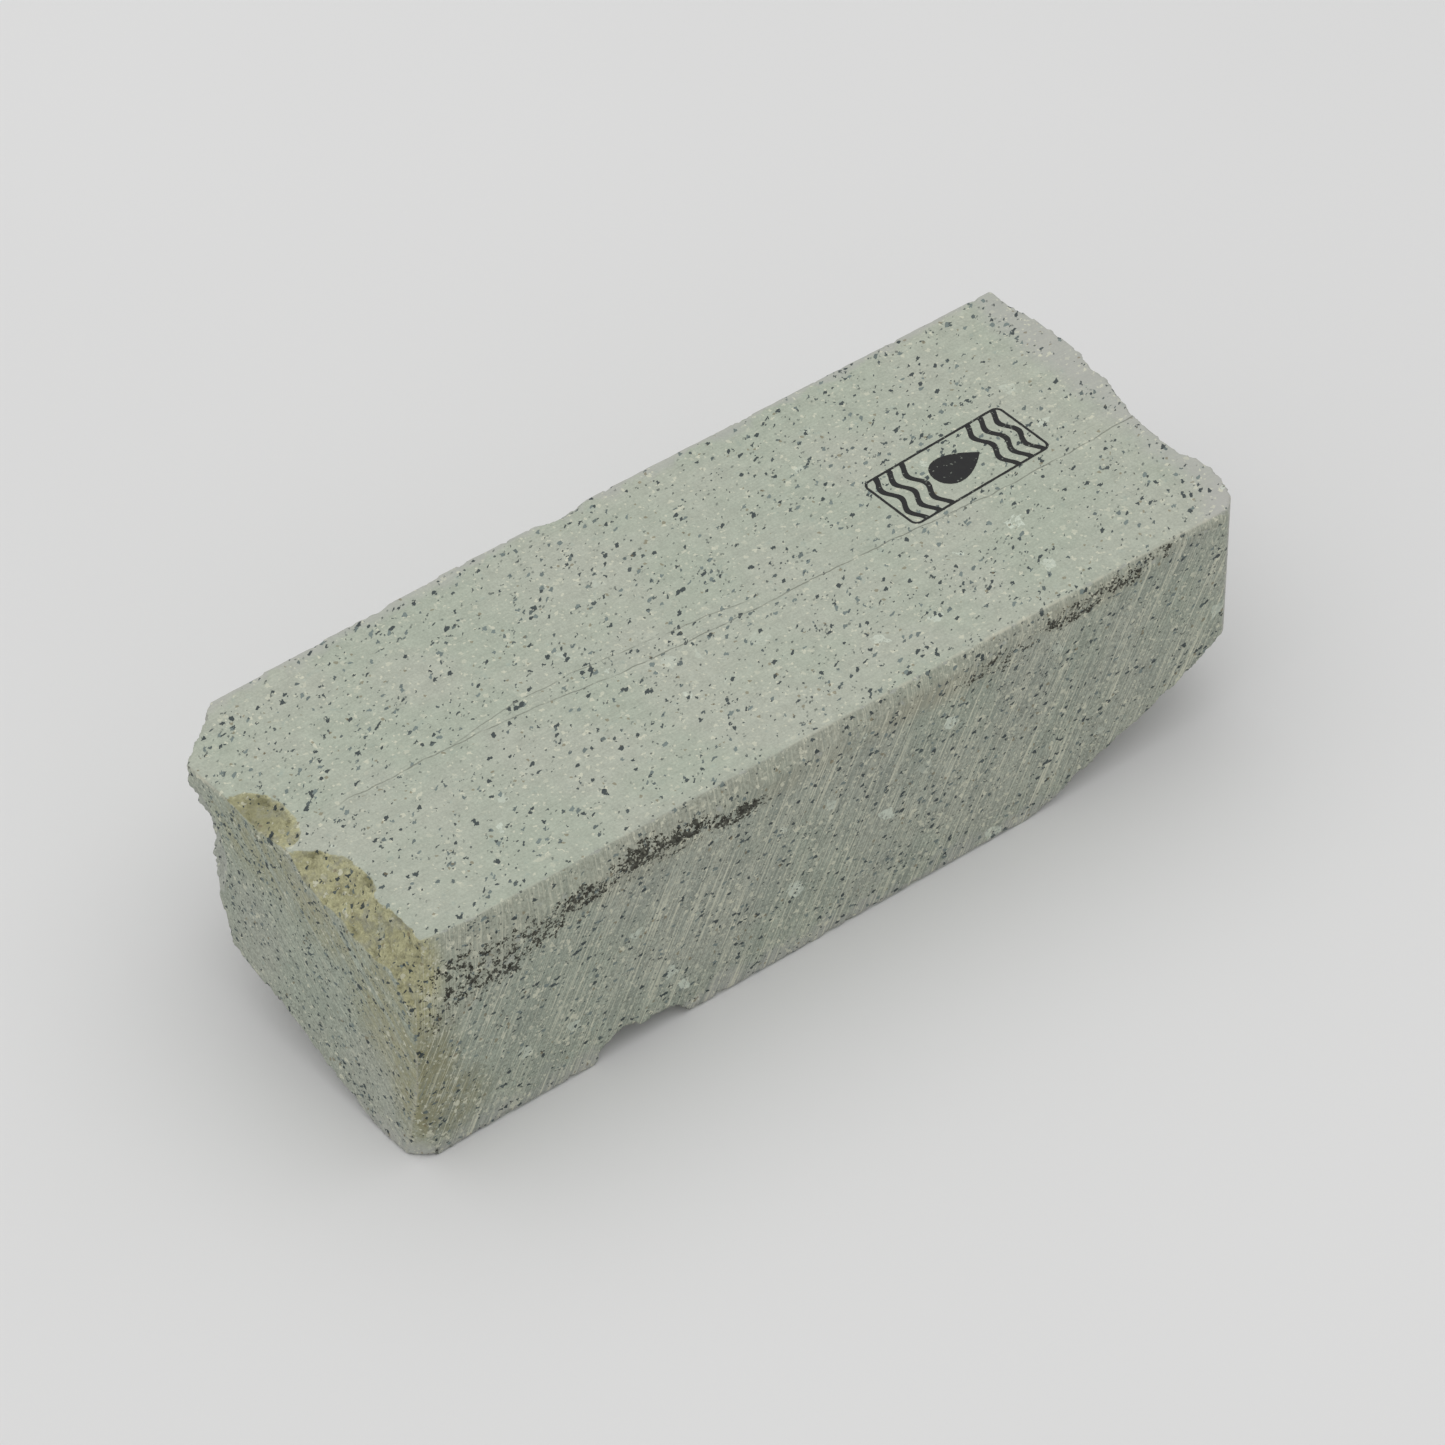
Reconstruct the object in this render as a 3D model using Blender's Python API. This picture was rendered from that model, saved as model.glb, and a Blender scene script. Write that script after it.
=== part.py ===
"""A natural sharpening whetstone: one sawn and split block of tuff with a stamp printed on its top.

Frame: metres, +Z up, X along the block. The origin is at the centre of the box round the block, on the
surface that the block stands on. The top is the flat working face. The front (-Y), back (+Y) and near end
(-X) are sawn faces, each a little out of square. The far end (+X) is split, and so are two corners of the
underside. The rest of the underside is flat, and the block stands on it.
"""

import math

import bmesh
import bpy
from mathutils import Matrix, Vector, noise

# Driving dimensions of the block
LENGTH = 0.212
WIDTH = 0.0832
HEIGHT = 0.054

# Driving dimensions of the printed stamp
STAMP_LENGTH = 0.0364
STAMP_WIDTH = 0.0162
STAMP_CORNER = 0.0018
STAMP_LINE = 0.00055
STAMP_CENTRE = (0.0641, 0.0042)
STAMP_TURN = math.radians(2.9)
STAMP_GAP = 0.0001
INK_THICKNESS = 0.0002

# The water drop in the middle of the stamp, and the waves on each side of it
WAVES_EACH_SIDE = 3
WAVE_PITCH = 0.0034
WAVE_LINE = 0.0013
WAVE_HEIGHT = 0.0008
WAVE_TURNS = 2
FIRST_WAVE = 0.0088
DROP_LENGTH = 0.0122
DROP_WIDTH = 0.0082
OUTLINE_STEPS = 28

# Places that the saw cuts and the breaks are measured from
FRONT = -WIDTH / 2
BACK = WIDTH / 2
NEAR_END = -LENGTH / 2
FAR_END = LENGTH / 2
TOP_FRONT = FRONT + 0.0028

# The saw cuts: (a place on the cut, heading and tilt of its outward direction in degrees)
SAW_CUTS = (
    # The front narrows towards the far end, and a second cut leans in along its top edge.
    ((NEAR_END, FRONT, 0), -89.4, 0),
    ((0, TOP_FRONT, HEIGHT), -90, 22.5),
    ((NEAR_END + 0.005, TOP_FRONT + 0.0012, HEIGHT), -95.6, 9.2),
    # The back bends slightly a third of the way along, and its foot is set in.
    ((0, BACK, HEIGHT), 90, -1.2),
    ((-0.042, BACK - 0.0003, HEIGHT), 92, -0.6),
    # The near end is a little skew, and its corner with the front is ground away at the foot.
    ((NEAR_END + 0.0004, 0.03, HEIGHT), 182.2, 1.0),
    ((NEAR_END + 0.0012, FRONT + 0.0046, 0), 227.4, -6.7),
    # The far end's corner with the front is cut off over its whole height.
    ((FAR_END - 0.0075, FRONT + 0.0030, 0), -43, 0),
)

# The relief of a broken surface: the length of its longest waves, how much finer and lower the small ones
# are, and a chip's relief as a share of its depth
RELIEF_LENGTH = 0.016
FINER = 2.7
SMALL_RELIEF = 0.45
CHIP_RELIEF = 0.45

# The size of a facet on the splits, on the far end and on the chips
SPLIT_FACET = 0.0042
EDGE_FACET = 0.0026
CHIP_FACET = 0.0015

# The splits: (name, place, heading, tilt, width and height of the cutter, facet, height of the relief)
FAR_END_SPLIT = (
    "far_end_split", (FAR_END - 0.0009, 0, HEIGHT / 2), 0, 0, (0.11, 0.08), EDGE_FACET, 0.0010,
)
CORNER_SPLITS = (
    ("far_underside_split", (0.0500, FRONT, 0), -24, -65, (0.20, 0.20), SPLIT_FACET, 0.0019),
    ("near_underside_split", (NEAR_END, FRONT + 0.0105, 0), 134, -63, (0.20, 0.20), SPLIT_FACET, 0.0015),
    (
        "near_back_split", (NEAR_END + 0.0069, BACK - 0.0080, HEIGHT), 132, -12.3,
        (0.07, 0.13), SPLIT_FACET, 0.0014,
    ),
)

# The chips along the edges: (name, middle, heading and tilt outward, half length, half width, depth)
CHIPS = (
    ("near_chip_back", (-0.1008, 0.0066, 0.0534), 180, 80, 0.0108, 0.0037, 0.0006),
    ("near_chip_middle", (-0.1001, -0.0155, 0.0510), 180, 53, 0.0125, 0.0050, 0.0010),
    ("near_chip_front", (-0.1012, -0.0300, 0.0493), 180, 31, 0.0172, 0.0054, 0.0011),
    ("near_chip_corner", (-0.1028, -0.0374, 0.0430), 205, 20, 0.0070, 0.0135, 0.0008),
    ("near_back_hollow", (-0.1046, 0.0203, 0.0360), 156, 0, 0.0070, 0.0085, 0.0015),
    ("back_chip_mid", (-0.0060, BACK - 0.0008, 0.0531), 90, 45, 0.0068, 0.0014, 0.0004),
    ("back_chip_near", (-0.0510, BACK - 0.0008, 0.0534), 90, 45, 0.0034, 0.0010, 0.0003),
    ("front_foot_notch", (-0.0534, FRONT + 0.0100, 0.0030), -94, -74, 0.0076, 0.0105, 0.0015),
    ("front_foot_flake", (-0.0472, FRONT + 0.0090, 0.0018), -88, -74, 0.0106, 0.0095, 0.0012),
    ("back_foot_chip", (0.0300, BACK - 0.0040, 0.0024), 90, -50, 0.0150, 0.0042, 0.0010),
    ("back_foot_nick", (0.0620, BACK - 0.0026, 0.0012), 90, -50, 0.0060, 0.0024, 0.0005),
)
# A chip cutter's length and width, over the chip's half length and half width
CHIP_CUTTER_SPAN = (2.5, 3.2)

# How far a cutter runs past the block, and the length that the far end's split takes off
CUTTER_DEPTH = 0.03
FAR_WASTE = 0.006

# The chipped top edge of the far end, from back to front: (place across, how far it stands out)
FAR_EDGE = (
    (0.0410, -0.0020),
    (0.0360, -0.0017),
    (0.0280, 0.0006),
    (0.0150, 0.0008),
    (0.0105, -0.0009),
    (0.0066, 0.0000),
    (0.0026, -0.0019),
    (-0.0080, -0.0034),
    (-0.0200, -0.0043),
    (-0.0220, -0.0028),
    (-0.0280, -0.0023),
    (-0.0360, -0.0044),
)
# How far down the split face those steps reach, and the share of them that is left at the foot
FAR_EDGE_FADE = 0.016
FAR_EDGE_AT_FOOT = 0.4

STONE_COLOUR = (0.36, 0.395, 0.335, 1.0)
INK_COLOUR = (0.012, 0.012, 0.014, 1.0)


def remove_all_objects():
    for old in list(bpy.data.objects):
        bpy.data.objects.remove(old, do_unlink=True)


def new_collection(name):
    collection = bpy.data.collections.new(name)
    bpy.context.scene.collection.children.link(collection)
    return collection


def new_material(name, colour, roughness):
    material = bpy.data.materials.new(name)
    material.use_nodes = True
    shader = material.node_tree.nodes["Principled BSDF"]
    shader.inputs["Base Color"].default_value = colour
    shader.inputs["Roughness"].default_value = roughness
    shader.inputs["Metallic"].default_value = 0.0
    return material


def object_from_bmesh(name, shape, collection):
    bmesh.ops.recalc_face_normals(shape, faces=shape.faces)
    mesh = bpy.data.meshes.new(name)
    shape.to_mesh(mesh)
    shape.free()
    new = bpy.data.objects.new(name, mesh)
    collection.objects.link(new)
    return new


def direction(heading, tilt=0.0):
    """The unit vector at a heading from +X towards +Y, tilted up from the horizontal, both in degrees."""
    turn = math.radians(heading)
    rise = math.radians(tilt)
    return Vector((math.cos(turn) * math.cos(rise), math.sin(turn) * math.cos(rise), math.sin(rise)))


def saw(shape, point, outward):
    """Cuts the shape with a plane, drops what lies on its outward side and closes the cut."""
    everything = shape.verts[:] + shape.edges[:] + shape.faces[:]
    cut = bmesh.ops.bisect_plane(
        shape, geom=everything, plane_co=point, plane_no=outward, clear_outer=True
    )
    rim = [item for item in cut["geom_cut"] if isinstance(item, bmesh.types.BMEdge)]
    bmesh.ops.contextual_create(shape, geom=rim)


def sawn_block():
    """The block as it left the saw: still long at the far end, and a little out of square."""
    shape = bmesh.new()
    size = Matrix.Diagonal((LENGTH + FAR_WASTE, WIDTH, HEIGHT, 1.0))
    middle = Matrix.Translation((FAR_WASTE / 2, 0, HEIGHT / 2))
    bmesh.ops.create_cube(shape, size=1.0, matrix=middle @ size)
    for place, heading, tilt in SAW_CUTS:
        saw(shape, Vector(place), direction(heading, tilt))
    return shape


def relief(u, v, seed, height):
    """The height of a broken surface: a broad roll with smaller steps on it."""
    place = Vector((u, v, seed)) / RELIEF_LENGTH
    broad = noise.noise(place)
    small = noise.noise(place * FINER + Vector((0, 0, seed)))
    return height * (broad + SMALL_RELIEF * small)


def break_cutter(name, point, outward, size, facet, height, seed, collection, bend):
    """A slab with a rough inner face at the point: it takes away all that lies outward of that face.

    On that face u runs sideways and v runs up the block, and bend(u, v) gives the shape under the relief.
    """
    shape = bmesh.new()
    cells = [round(side / facet) for side in size]
    bmesh.ops.create_grid(shape, x_segments=cells[0], y_segments=cells[1], size=0.5)
    for corner in shape.verts:
        u = corner.co.x * size[0]
        v = corner.co.y * size[1]
        corner.co = Vector((u, v, relief(u, v, seed, height) + bend(u, v)))
    grown = bmesh.ops.extrude_face_region(shape, geom=shape.faces[:])
    for item in grown["geom"]:
        if isinstance(item, bmesh.types.BMVert):
            item.co.z = CUTTER_DEPTH
    cutter = object_from_bmesh(name, shape, collection)
    cutter.location = point
    cutter.rotation_euler = outward.to_track_quat("Z", "Y").to_euler()
    return as_cutter(cutter)


def flat(u, v):
    return 0.0


def far_edge_steps(u, v):
    """The steps of the far end's top edge, which fade down the split face."""
    depth = min(max((HEIGHT / 2 - v) / FAR_EDGE_FADE, 0.0), 1.0)
    out = FAR_EDGE[0][1] if u > 0 else FAR_EDGE[-1][1]
    for (u_back, out_back), (u_front, out_front) in zip(FAR_EDGE, FAR_EDGE[1:]):
        if u_front <= u <= u_back:
            share = (u_back - u) / (u_back - u_front)
            out = out_back + share * (out_front - out_back)
    return out * (1.0 + (FAR_EDGE_AT_FOOT - 1.0) * depth)


def chip_cutter(name, middle, heading, tilt, half_length, half_width, deep, collection, seed):
    """A shallow bowl across an edge, centred on the middle of the bevel that the chip makes."""
    edge_height = half_width * abs(math.sin(2 * math.radians(tilt)))

    def bowl(u, v):
        return deep * ((v / half_width) ** 2 - 1) + (deep + edge_height) * (u / half_length) ** 2

    size = (CHIP_CUTTER_SPAN[0] * half_length, CHIP_CUTTER_SPAN[1] * half_width)
    outward = direction(heading, tilt)
    height = CHIP_RELIEF * deep
    return break_cutter(name, Vector(middle), outward, size, CHIP_FACET, height, seed, collection, bowl)


def as_cutter(cutter):
    cutter.hide_render = True
    cutter.display_type = "WIRE"
    return cutter


def combine(target, other, operation):
    modifier = target.modifiers.new(other.name, "BOOLEAN")
    modifier.operation = operation
    modifier.solver = "EXACT"
    modifier.object = other


def split_cutters(collection):
    """Cutters for the large breaks: the far end, two corners of the underside and one at the back."""
    bends = [far_edge_steps] + [flat] * len(CORNER_SPLITS)
    cutters = []
    for index, (split, bend) in enumerate(zip((FAR_END_SPLIT, *CORNER_SPLITS), bends)):
        name, place, heading, tilt, size, facet, height = split
        outward = direction(heading, tilt)
        seed = 3.0 + 8.0 * index
        cutters.append(
            break_cutter(name, Vector(place), outward, size, facet, height, seed, collection, bend)
        )
    return cutters


def make_stone(parts, cutters):
    stone = object_from_bmesh("stone_block", sawn_block(), parts)
    stone.data.materials.append(new_material("tuff", STONE_COLOUR, 0.9))
    chip_cutters = [
        chip_cutter(*chip, cutters, 40.0 + 7.0 * index) for index, chip in enumerate(CHIPS)
    ]
    for cutter in split_cutters(cutters) + chip_cutters:
        combine(stone, cutter, "DIFFERENCE")
    return stone


def flat_shape(name, outlines, collection):
    """A plate of the ink's thickness from closed outlines in the stamp's plane. An inner one is a hole."""
    curve = bpy.data.curves.new(name, "CURVE")
    curve.dimensions = "2D"
    curve.fill_mode = "BOTH"
    curve.extrude = INK_THICKNESS / 2
    for outline in outlines:
        spline = curve.splines.new("POLY")
        spline.points.add(len(outline) - 1)
        for point, (u, v) in zip(spline.points, outline):
            point.co = (u, v, 0.0, 1.0)
        spline.use_cyclic_u = True
    drawn = bpy.data.objects.new(name, curve)
    collection.objects.link(drawn)
    graph = bpy.context.evaluated_depsgraph_get()
    mesh = bpy.data.meshes.new_from_object(drawn.evaluated_get(graph))
    bpy.data.objects.remove(drawn)
    shape = bmesh.new()
    shape.from_mesh(mesh)
    bpy.data.meshes.remove(mesh)
    bmesh.ops.remove_doubles(shape, verts=shape.verts, dist=1e-6)
    return object_from_bmesh(name, shape, collection)


def rounded_rectangle(length, width, radius):
    points = []
    for quarter, (side_u, side_v) in enumerate(((1, 1), (-1, 1), (-1, -1), (1, -1))):
        centre_u = side_u * (length / 2 - radius)
        centre_v = side_v * (width / 2 - radius)
        for step in range(7):
            angle = math.radians(90 * quarter + 15 * step)
            points.append((centre_u + radius * math.cos(angle), centre_v + radius * math.sin(angle)))
    return points


def wave_outline(middle):
    """A wavy band right across the stamp, whose ends lie inside the frame's lines."""
    reach = STAMP_WIDTH / 2 - STAMP_LINE / 2
    edges = {-1: [], 1: []}
    for step in range(OUTLINE_STEPS + 1):
        v = reach * (2 * step / OUTLINE_STEPS - 1)
        crest = WAVE_HEIGHT * math.cos(math.pi * WAVE_TURNS * v / reach)
        for side in edges:
            edges[side].append((middle + crest + side * WAVE_LINE / 2, v))
    return edges[-1] + edges[1][::-1]


def drop_outline():
    """A water drop centred on the stamp, with its tip towards +X."""
    turns = [2 * math.pi * step / OUTLINE_STEPS for step in range(OUTLINE_STEPS)]
    bulges = [math.sin(turn) * math.sin(turn / 2) for turn in turns]
    widest = max(bulges)
    return [
        (DROP_LENGTH / 2 * math.cos(turn), DROP_WIDTH / 2 * bulge / widest)
        for turn, bulge in zip(turns, bulges)
    ]


def print_on_top(film):
    """Lays a film of ink on the working face, at the stamp's place and turn."""
    film.location = (*STAMP_CENTRE, HEIGHT + STAMP_GAP + INK_THICKNESS / 2)
    film.rotation_euler = (0.0, 0.0, STAMP_TURN)


def make_stamp(parts, cutters):
    """The printed mark: a frame joined to its waves, and a water drop in the middle that stands alone."""
    ink = new_material("black_ink", INK_COLOUR, 0.6)
    inner_length = STAMP_LENGTH - 2 * STAMP_LINE
    inner_width = STAMP_WIDTH - 2 * STAMP_LINE
    frame = [
        rounded_rectangle(STAMP_LENGTH, STAMP_WIDTH, STAMP_CORNER),
        rounded_rectangle(inner_length, inner_width, STAMP_CORNER - STAMP_LINE),
    ]
    stamp = flat_shape("ink_stamp", frame, parts)
    drop = flat_shape("ink_drop", [drop_outline()], parts)
    for film in (stamp, drop):
        film.data.materials.append(ink)
        print_on_top(film)
    for side in (-1, 1):
        for index in range(WAVES_EACH_SIDE):
            middle = side * (FIRST_WAVE + WAVE_PITCH * index)
            wave = flat_shape(f"wave_{side}_{index}", [wave_outline(middle)], cutters)
            wave.parent = stamp
            combine(stamp, as_cutter(wave), "UNION")


def centre_on_origin(stone):
    """Hangs every object on one empty, and moves it so that the stone's box is centred on the origin."""
    frame = bpy.data.objects.new("block_frame", None)
    bpy.context.scene.collection.objects.link(frame)
    for item in list(bpy.data.objects):
        if item is not frame and item.parent is None:
            item.parent = frame
    graph = bpy.context.evaluated_depsgraph_get()
    corners = [stone.matrix_world @ Vector(corner) for corner in stone.evaluated_get(graph).bound_box]
    for axis in (0, 1):
        places = [corner[axis] for corner in corners]
        frame.location[axis] = -(min(places) + max(places)) / 2


def main():
    remove_all_objects()
    parts = new_collection("whetstone")
    cutters = new_collection("cutters")
    stone = make_stone(parts, cutters)
    make_stamp(parts, cutters)
    centre_on_origin(stone)


main()
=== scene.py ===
"""The looks of the whetstone: a block of pale green tuff with sawn faces, broken edges and a printed stamp.

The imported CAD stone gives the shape. A fine copy of it gets worn arrises and rough breaks, and its material
is worked out from the distance to each sawn face, so each face has its own saw marks, stains and margins.
Lengths in the shape are metres, and lengths in the materials are millimetres.
"""

import math

import bmesh
import bpy
import numpy as np
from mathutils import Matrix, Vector, noise


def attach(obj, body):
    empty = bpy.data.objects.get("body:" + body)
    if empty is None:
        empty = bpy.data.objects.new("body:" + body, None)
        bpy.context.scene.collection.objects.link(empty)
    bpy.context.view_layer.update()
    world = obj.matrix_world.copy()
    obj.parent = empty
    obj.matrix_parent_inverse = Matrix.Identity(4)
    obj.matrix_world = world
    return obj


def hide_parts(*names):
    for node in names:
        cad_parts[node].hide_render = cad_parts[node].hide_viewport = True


MM = 0.001
MM_IN_METRE = 1000.0

# The photographer's camera: where it looks, from which side, how far off, and its lens
CAMERA_TARGET = (-0.01836, -0.02561, 0.054)
CAMERA_AZIMUTH = -38.11
CAMERA_ELEVATION = 43.21
CAMERA_DISTANCE = 1.5328
CAMERA_LENS = 200.0
CAMERA_SENSOR = 36.0

# The studio: the strength of the white surroundings, and softboxes as (name, place, size, power)
WORLD_STRENGTH = 0.69
SOFTBOXES = (
    ("overhead_softbox", (-0.04, 0.18, 1.6), 2.6, 11.4),
    ("left_softbox", (-1.6, 0.1, 0.9), 1.0, 0.8),
)
LIT_POINT = (0.0, 0.0, 0.03)
FLOOR_REACH = 30.0

# The directions that the sawn faces look in: heading from +X towards +Y, and tilt up out of the horizontal
SAWN_FACES = {
    "top": (0, 90),
    "base": (0, -90),
    "front": (-89.4, 0),
    "bevel": (-90, 22.5),
    "near_bevel": (-95.6, 9.2),
    "back": (90, -1.2),
    "near_back": (92, -0.6),
    "end": (182.2, 1.0),
    "foot_corner": (227.4, -6.7),
    "far_corner": (-43, 0),
}
SAME_DIRECTION = math.cos(math.radians(0.3))

# The fine mesh of the stone: its first cells, its triangles at the end, and how near a face counts as on it
VOXEL = 0.5 * MM
MOST_TRIANGLES = 190_000
ON_FACE = 0.06 * MM

# How far below every sawn face a broken surface begins, and where it is wholly broken
BREAK_BEGINS = 0.1 * MM
BREAK_FULL = 0.5 * MM
# The relief of the breaks as (height, size, octaves, seed), and how much higher it is on the deep ones
BREAK_RELIEF = (
    (0.75 * MM, 6.0 * MM, 4, 1.0),
    (0.34 * MM, 1.7 * MM, 3, 5.0),
)
DEEP_BREAK = (1.0 * MM, 4.0 * MM)
DEEP_BREAK_GAIN = 0.9
BREAK_ROUNDS = 9

# The crumbled rims of the breaks: how deep and how large the bites are. A rim is where the brokenness,
# spread over some rounds, lies between the first share and the last. Bites are full from the middle one.
RIM_BITE = 0.8 * MM
RIM_BITE_SIZE = 3.0 * MM
RIM_ROUNDS = 8
RIM_SHARES = (0.1, 0.5, 0.9)

# The worn arrises: how far from the edge and how deep under the face the wear goes, where it is smoothed,
# the rounding, and its unevenness and the nicks as (depth, size, reach from the edge)
ARRIS_REACH = 2.0 * MM
ARRIS_THICKNESS = 0.3 * MM
ARRIS_SMOOTHED = (1.0 * MM, 0.3 * MM)
ARRIS_ROUNDING = 0.10 * MM
ARRIS_WOBBLE = (0.16 * MM, 4.5 * MM, 0.8 * MM)
ARRIS_NICKS = (0.55 * MM, 2.2 * MM, 1.5 * MM)
ARRIS_ROUNDS = 3
# The wear everywhere, and what is added towards the foot between two heights
WEAR = 0.7
FOOT_WEAR = 2.5
FOOT_HEIGHTS = (12 * MM, 2 * MM)

# The printed ink: the longest edge of its mesh, how uneven its outline is, and how far it reaches
INK_EDGE = 0.8 * MM
INK_WOBBLE = 0.07 * MM
INK_WOBBLE_SIZE = 0.7 * MM
INK_ABOVE = 0.04 * MM
INK_BELOW = 0.03 * MM
INK_ROUNDS = 5


def direction(heading, tilt=0.0):
    """The unit vector at a heading from +X towards +Y, tilted up from the horizontal, both in degrees."""
    turn = math.radians(heading)
    rise = math.radians(tilt)
    return Vector((math.cos(turn) * math.cos(rise), math.sin(turn) * math.cos(rise), math.sin(rise)))


# ---------------------------------------------------------------- shape


def sawn_planes(mesh):
    """Each sawn face as (unit normal, distance from the origin), from the largest polygon that faces so."""
    planes = {}
    for name, angles in SAWN_FACES.items():
        wanted = direction(*angles)
        facing = [face for face in mesh.polygons if face.normal.dot(wanted) > SAME_DIRECTION]
        largest = max(facing, key=lambda face: face.area)
        planes[name] = (np.array(largest.normal), largest.normal.dot(largest.center))
    return planes


def evaluated_mesh(obj):
    """A new mesh of the object as its modifiers leave it."""
    graph = bpy.context.evaluated_depsgraph_get()
    return bpy.data.meshes.new_from_object(obj.evaluated_get(graph))


def new_piece(name, mesh):
    piece = bpy.data.objects.new(name, mesh)
    bpy.context.scene.collection.objects.link(piece)
    return piece


def apply_modifiers(piece):
    made = evaluated_mesh(piece)
    piece.modifiers.clear()
    old = piece.data
    piece.data = made
    bpy.data.meshes.remove(old)


def points_of(mesh):
    points = np.empty(len(mesh.vertices) * 3)
    mesh.vertices.foreach_get("co", points)
    return points.reshape(-1, 3)


def normals_of(mesh):
    normals = np.empty(len(mesh.vertices) * 3)
    mesh.vertices.foreach_get("normal", normals)
    return normals.reshape(-1, 3)


def set_points(mesh, points):
    mesh.vertices.foreach_set("co", points.ravel())
    mesh.update()


def edges_of(mesh):
    edges = np.empty(len(mesh.edges) * 2, np.int32)
    mesh.edges.foreach_get("vertices", edges)
    return edges.reshape(-1, 2)


def depths_below(points, planes):
    """How far inside each sawn face each point lies, one column for each face."""
    return np.stack([distance - points @ normal for normal, distance in planes.values()], axis=1)


def ramp(values, start, end):
    """0 at the start and 1 at the end, and held there."""
    return np.clip((values - start) / (end - start), 0.0, 1.0)


def brokenness(depth):
    """1 on a broken surface and 0 on a sawn face, from the depth below the nearest sawn face."""
    return ramp(depth, BREAK_BEGINS, BREAK_FULL)


def relax(points, edges, share, rounds):
    """Moves each point towards the middle of its neighbours, by its own share of the way."""
    neighbours = np.bincount(edges.ravel(), minlength=len(points))
    for _ in range(rounds):
        total = np.zeros_like(points)
        for start, end in ((0, 1), (1, 0)):
            for axis in range(points.shape[1]):
                reached = points[edges[:, end], axis]
                total[:, axis] += np.bincount(edges[:, start], reached, len(points))
        points = points + share[:, None] * (total / neighbours[:, None] - points)
    return points


def noise_at(points, where, size, octaves, seed):
    """Fractal noise of about -1 to 1 at the points chosen by where, and 0 at the others."""
    values = np.zeros(len(points))
    shift = Vector((seed, 2.0 * seed, 3.0 * seed))
    for index in np.flatnonzero(where):
        place = Vector(points[index] / size) + shift
        values[index] = noise.fractal(place, 0.8, 2.1, octaves, noise_basis="PERLIN_ORIGINAL")
    return values


def roughen_breaks(mesh, planes):
    """Turns the facets of the broken surfaces into rolling relief with a grain on it."""
    points = points_of(mesh)
    depth = depths_below(points, planes).min(axis=1)
    broken = brokenness(depth)
    points = relax(points, edges_of(mesh), 0.5 * broken, BREAK_ROUNDS)
    set_points(mesh, points)
    outward = np.zeros(len(points))
    for height, size, octaves, seed in BREAK_RELIEF:
        outward += height * noise_at(points, broken > 0, size, octaves, seed)
    outward *= broken * (1.0 + DEEP_BREAK_GAIN * ramp(depth, *DEEP_BREAK))
    set_points(mesh, points + outward[:, None] * normals_of(mesh))


def crumble_rims(mesh, planes):
    """Bites small pieces out of the faces along the rims of the broken surfaces."""
    points = points_of(mesh)
    broken = brokenness(depths_below(points, planes).min(axis=1))
    everywhere = np.ones(len(points))
    near_break = relax(broken[:, None], edges_of(mesh), everywhere, RIM_ROUNDS)[:, 0]
    outer, middle, inner = RIM_SHARES
    on_rim = (near_break > outer) & (near_break < inner)
    bites = ramp(noise_at(points, on_rim, RIM_BITE_SIZE, 4, 31.0), 0.0, 0.5)
    inward = np.where(on_rim, RIM_BITE * bites * ramp(near_break, outer, middle), 0.0)
    set_points(mesh, points - inward[:, None] * normals_of(mesh))


def wear_arrises(mesh, planes):
    """Rounds and nicks the edges where two sawn faces meet, more at the foot than round the top."""
    points = points_of(mesh)
    from_edge = np.sort(depths_below(points, planes), axis=1)[:, 1]
    points = relax(points, edges_of(mesh), 0.5 * ramp(from_edge, *ARRIS_SMOOTHED), ARRIS_ROUNDS)
    set_points(mesh, points)
    depths = np.sort(depths_below(points, planes), axis=1)
    from_edge = depths[:, 1]
    near_edge = (depths[:, 0] < ARRIS_THICKNESS) & (from_edge < ARRIS_REACH)
    wear = WEAR + FOOT_WEAR * ramp(points[:, 2], *FOOT_HEIGHTS)
    wobble_depth, wobble_size, wobble_reach = ARRIS_WOBBLE
    wobble = np.clip(noise_at(points, near_edge, wobble_size, 4, 11.0), -0.5, 1.0)
    rounding = (ARRIS_ROUNDING + wobble_depth * wobble) * ramp(from_edge, wobble_reach, 0.0)
    nick_depth, nick_size, nick_reach = ARRIS_NICKS
    nicks = nick_depth * ramp(noise_at(points, near_edge, nick_size, 2, 23.0), 0.30, 0.62)
    nicks *= ramp(from_edge, nick_reach, 0.1 * MM)
    inward = np.where(near_edge, wear * (rounding + nicks), 0.0)
    set_points(mesh, points - inward[:, None] * normals_of(mesh))


def true_up(mesh, planes):
    """Puts every point of a sawn face exactly on it, and brings back any point that stands proud of one."""
    points = points_of(mesh)
    for normal, distance in planes.values():
        depth = distance - points @ normal
        off = np.where(depth < ON_FACE, depth, 0.0)
        points = points + off[:, None] * normal
    set_points(mesh, points)


def make_stone(source, planes):
    """A fine copy of the CAD stone, with worn arrises and rough breaks."""
    stone = new_piece("whetstone_body", source.data.copy())
    remesh = stone.modifiers.new("even", "REMESH")
    remesh.mode = "VOXEL"
    remesh.voxel_size = VOXEL
    apply_modifiers(stone)
    roughen_breaks(stone.data, planes)
    crumble_rims(stone.data, planes)
    wear_arrises(stone.data, planes)
    true_up(stone.data, planes)
    thin_out = stone.modifiers.new("thin_out", "DECIMATE")
    thin_out.ratio = MOST_TRIANGLES / (2 * len(stone.data.polygons))
    thin_out.use_collapse_triangulate = True
    apply_modifiers(stone)
    stone.data.shade_smooth()
    weighted = stone.modifiers.new("flat_faces", "WEIGHTED_NORMAL")
    weighted.weight = 100
    return stone


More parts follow.
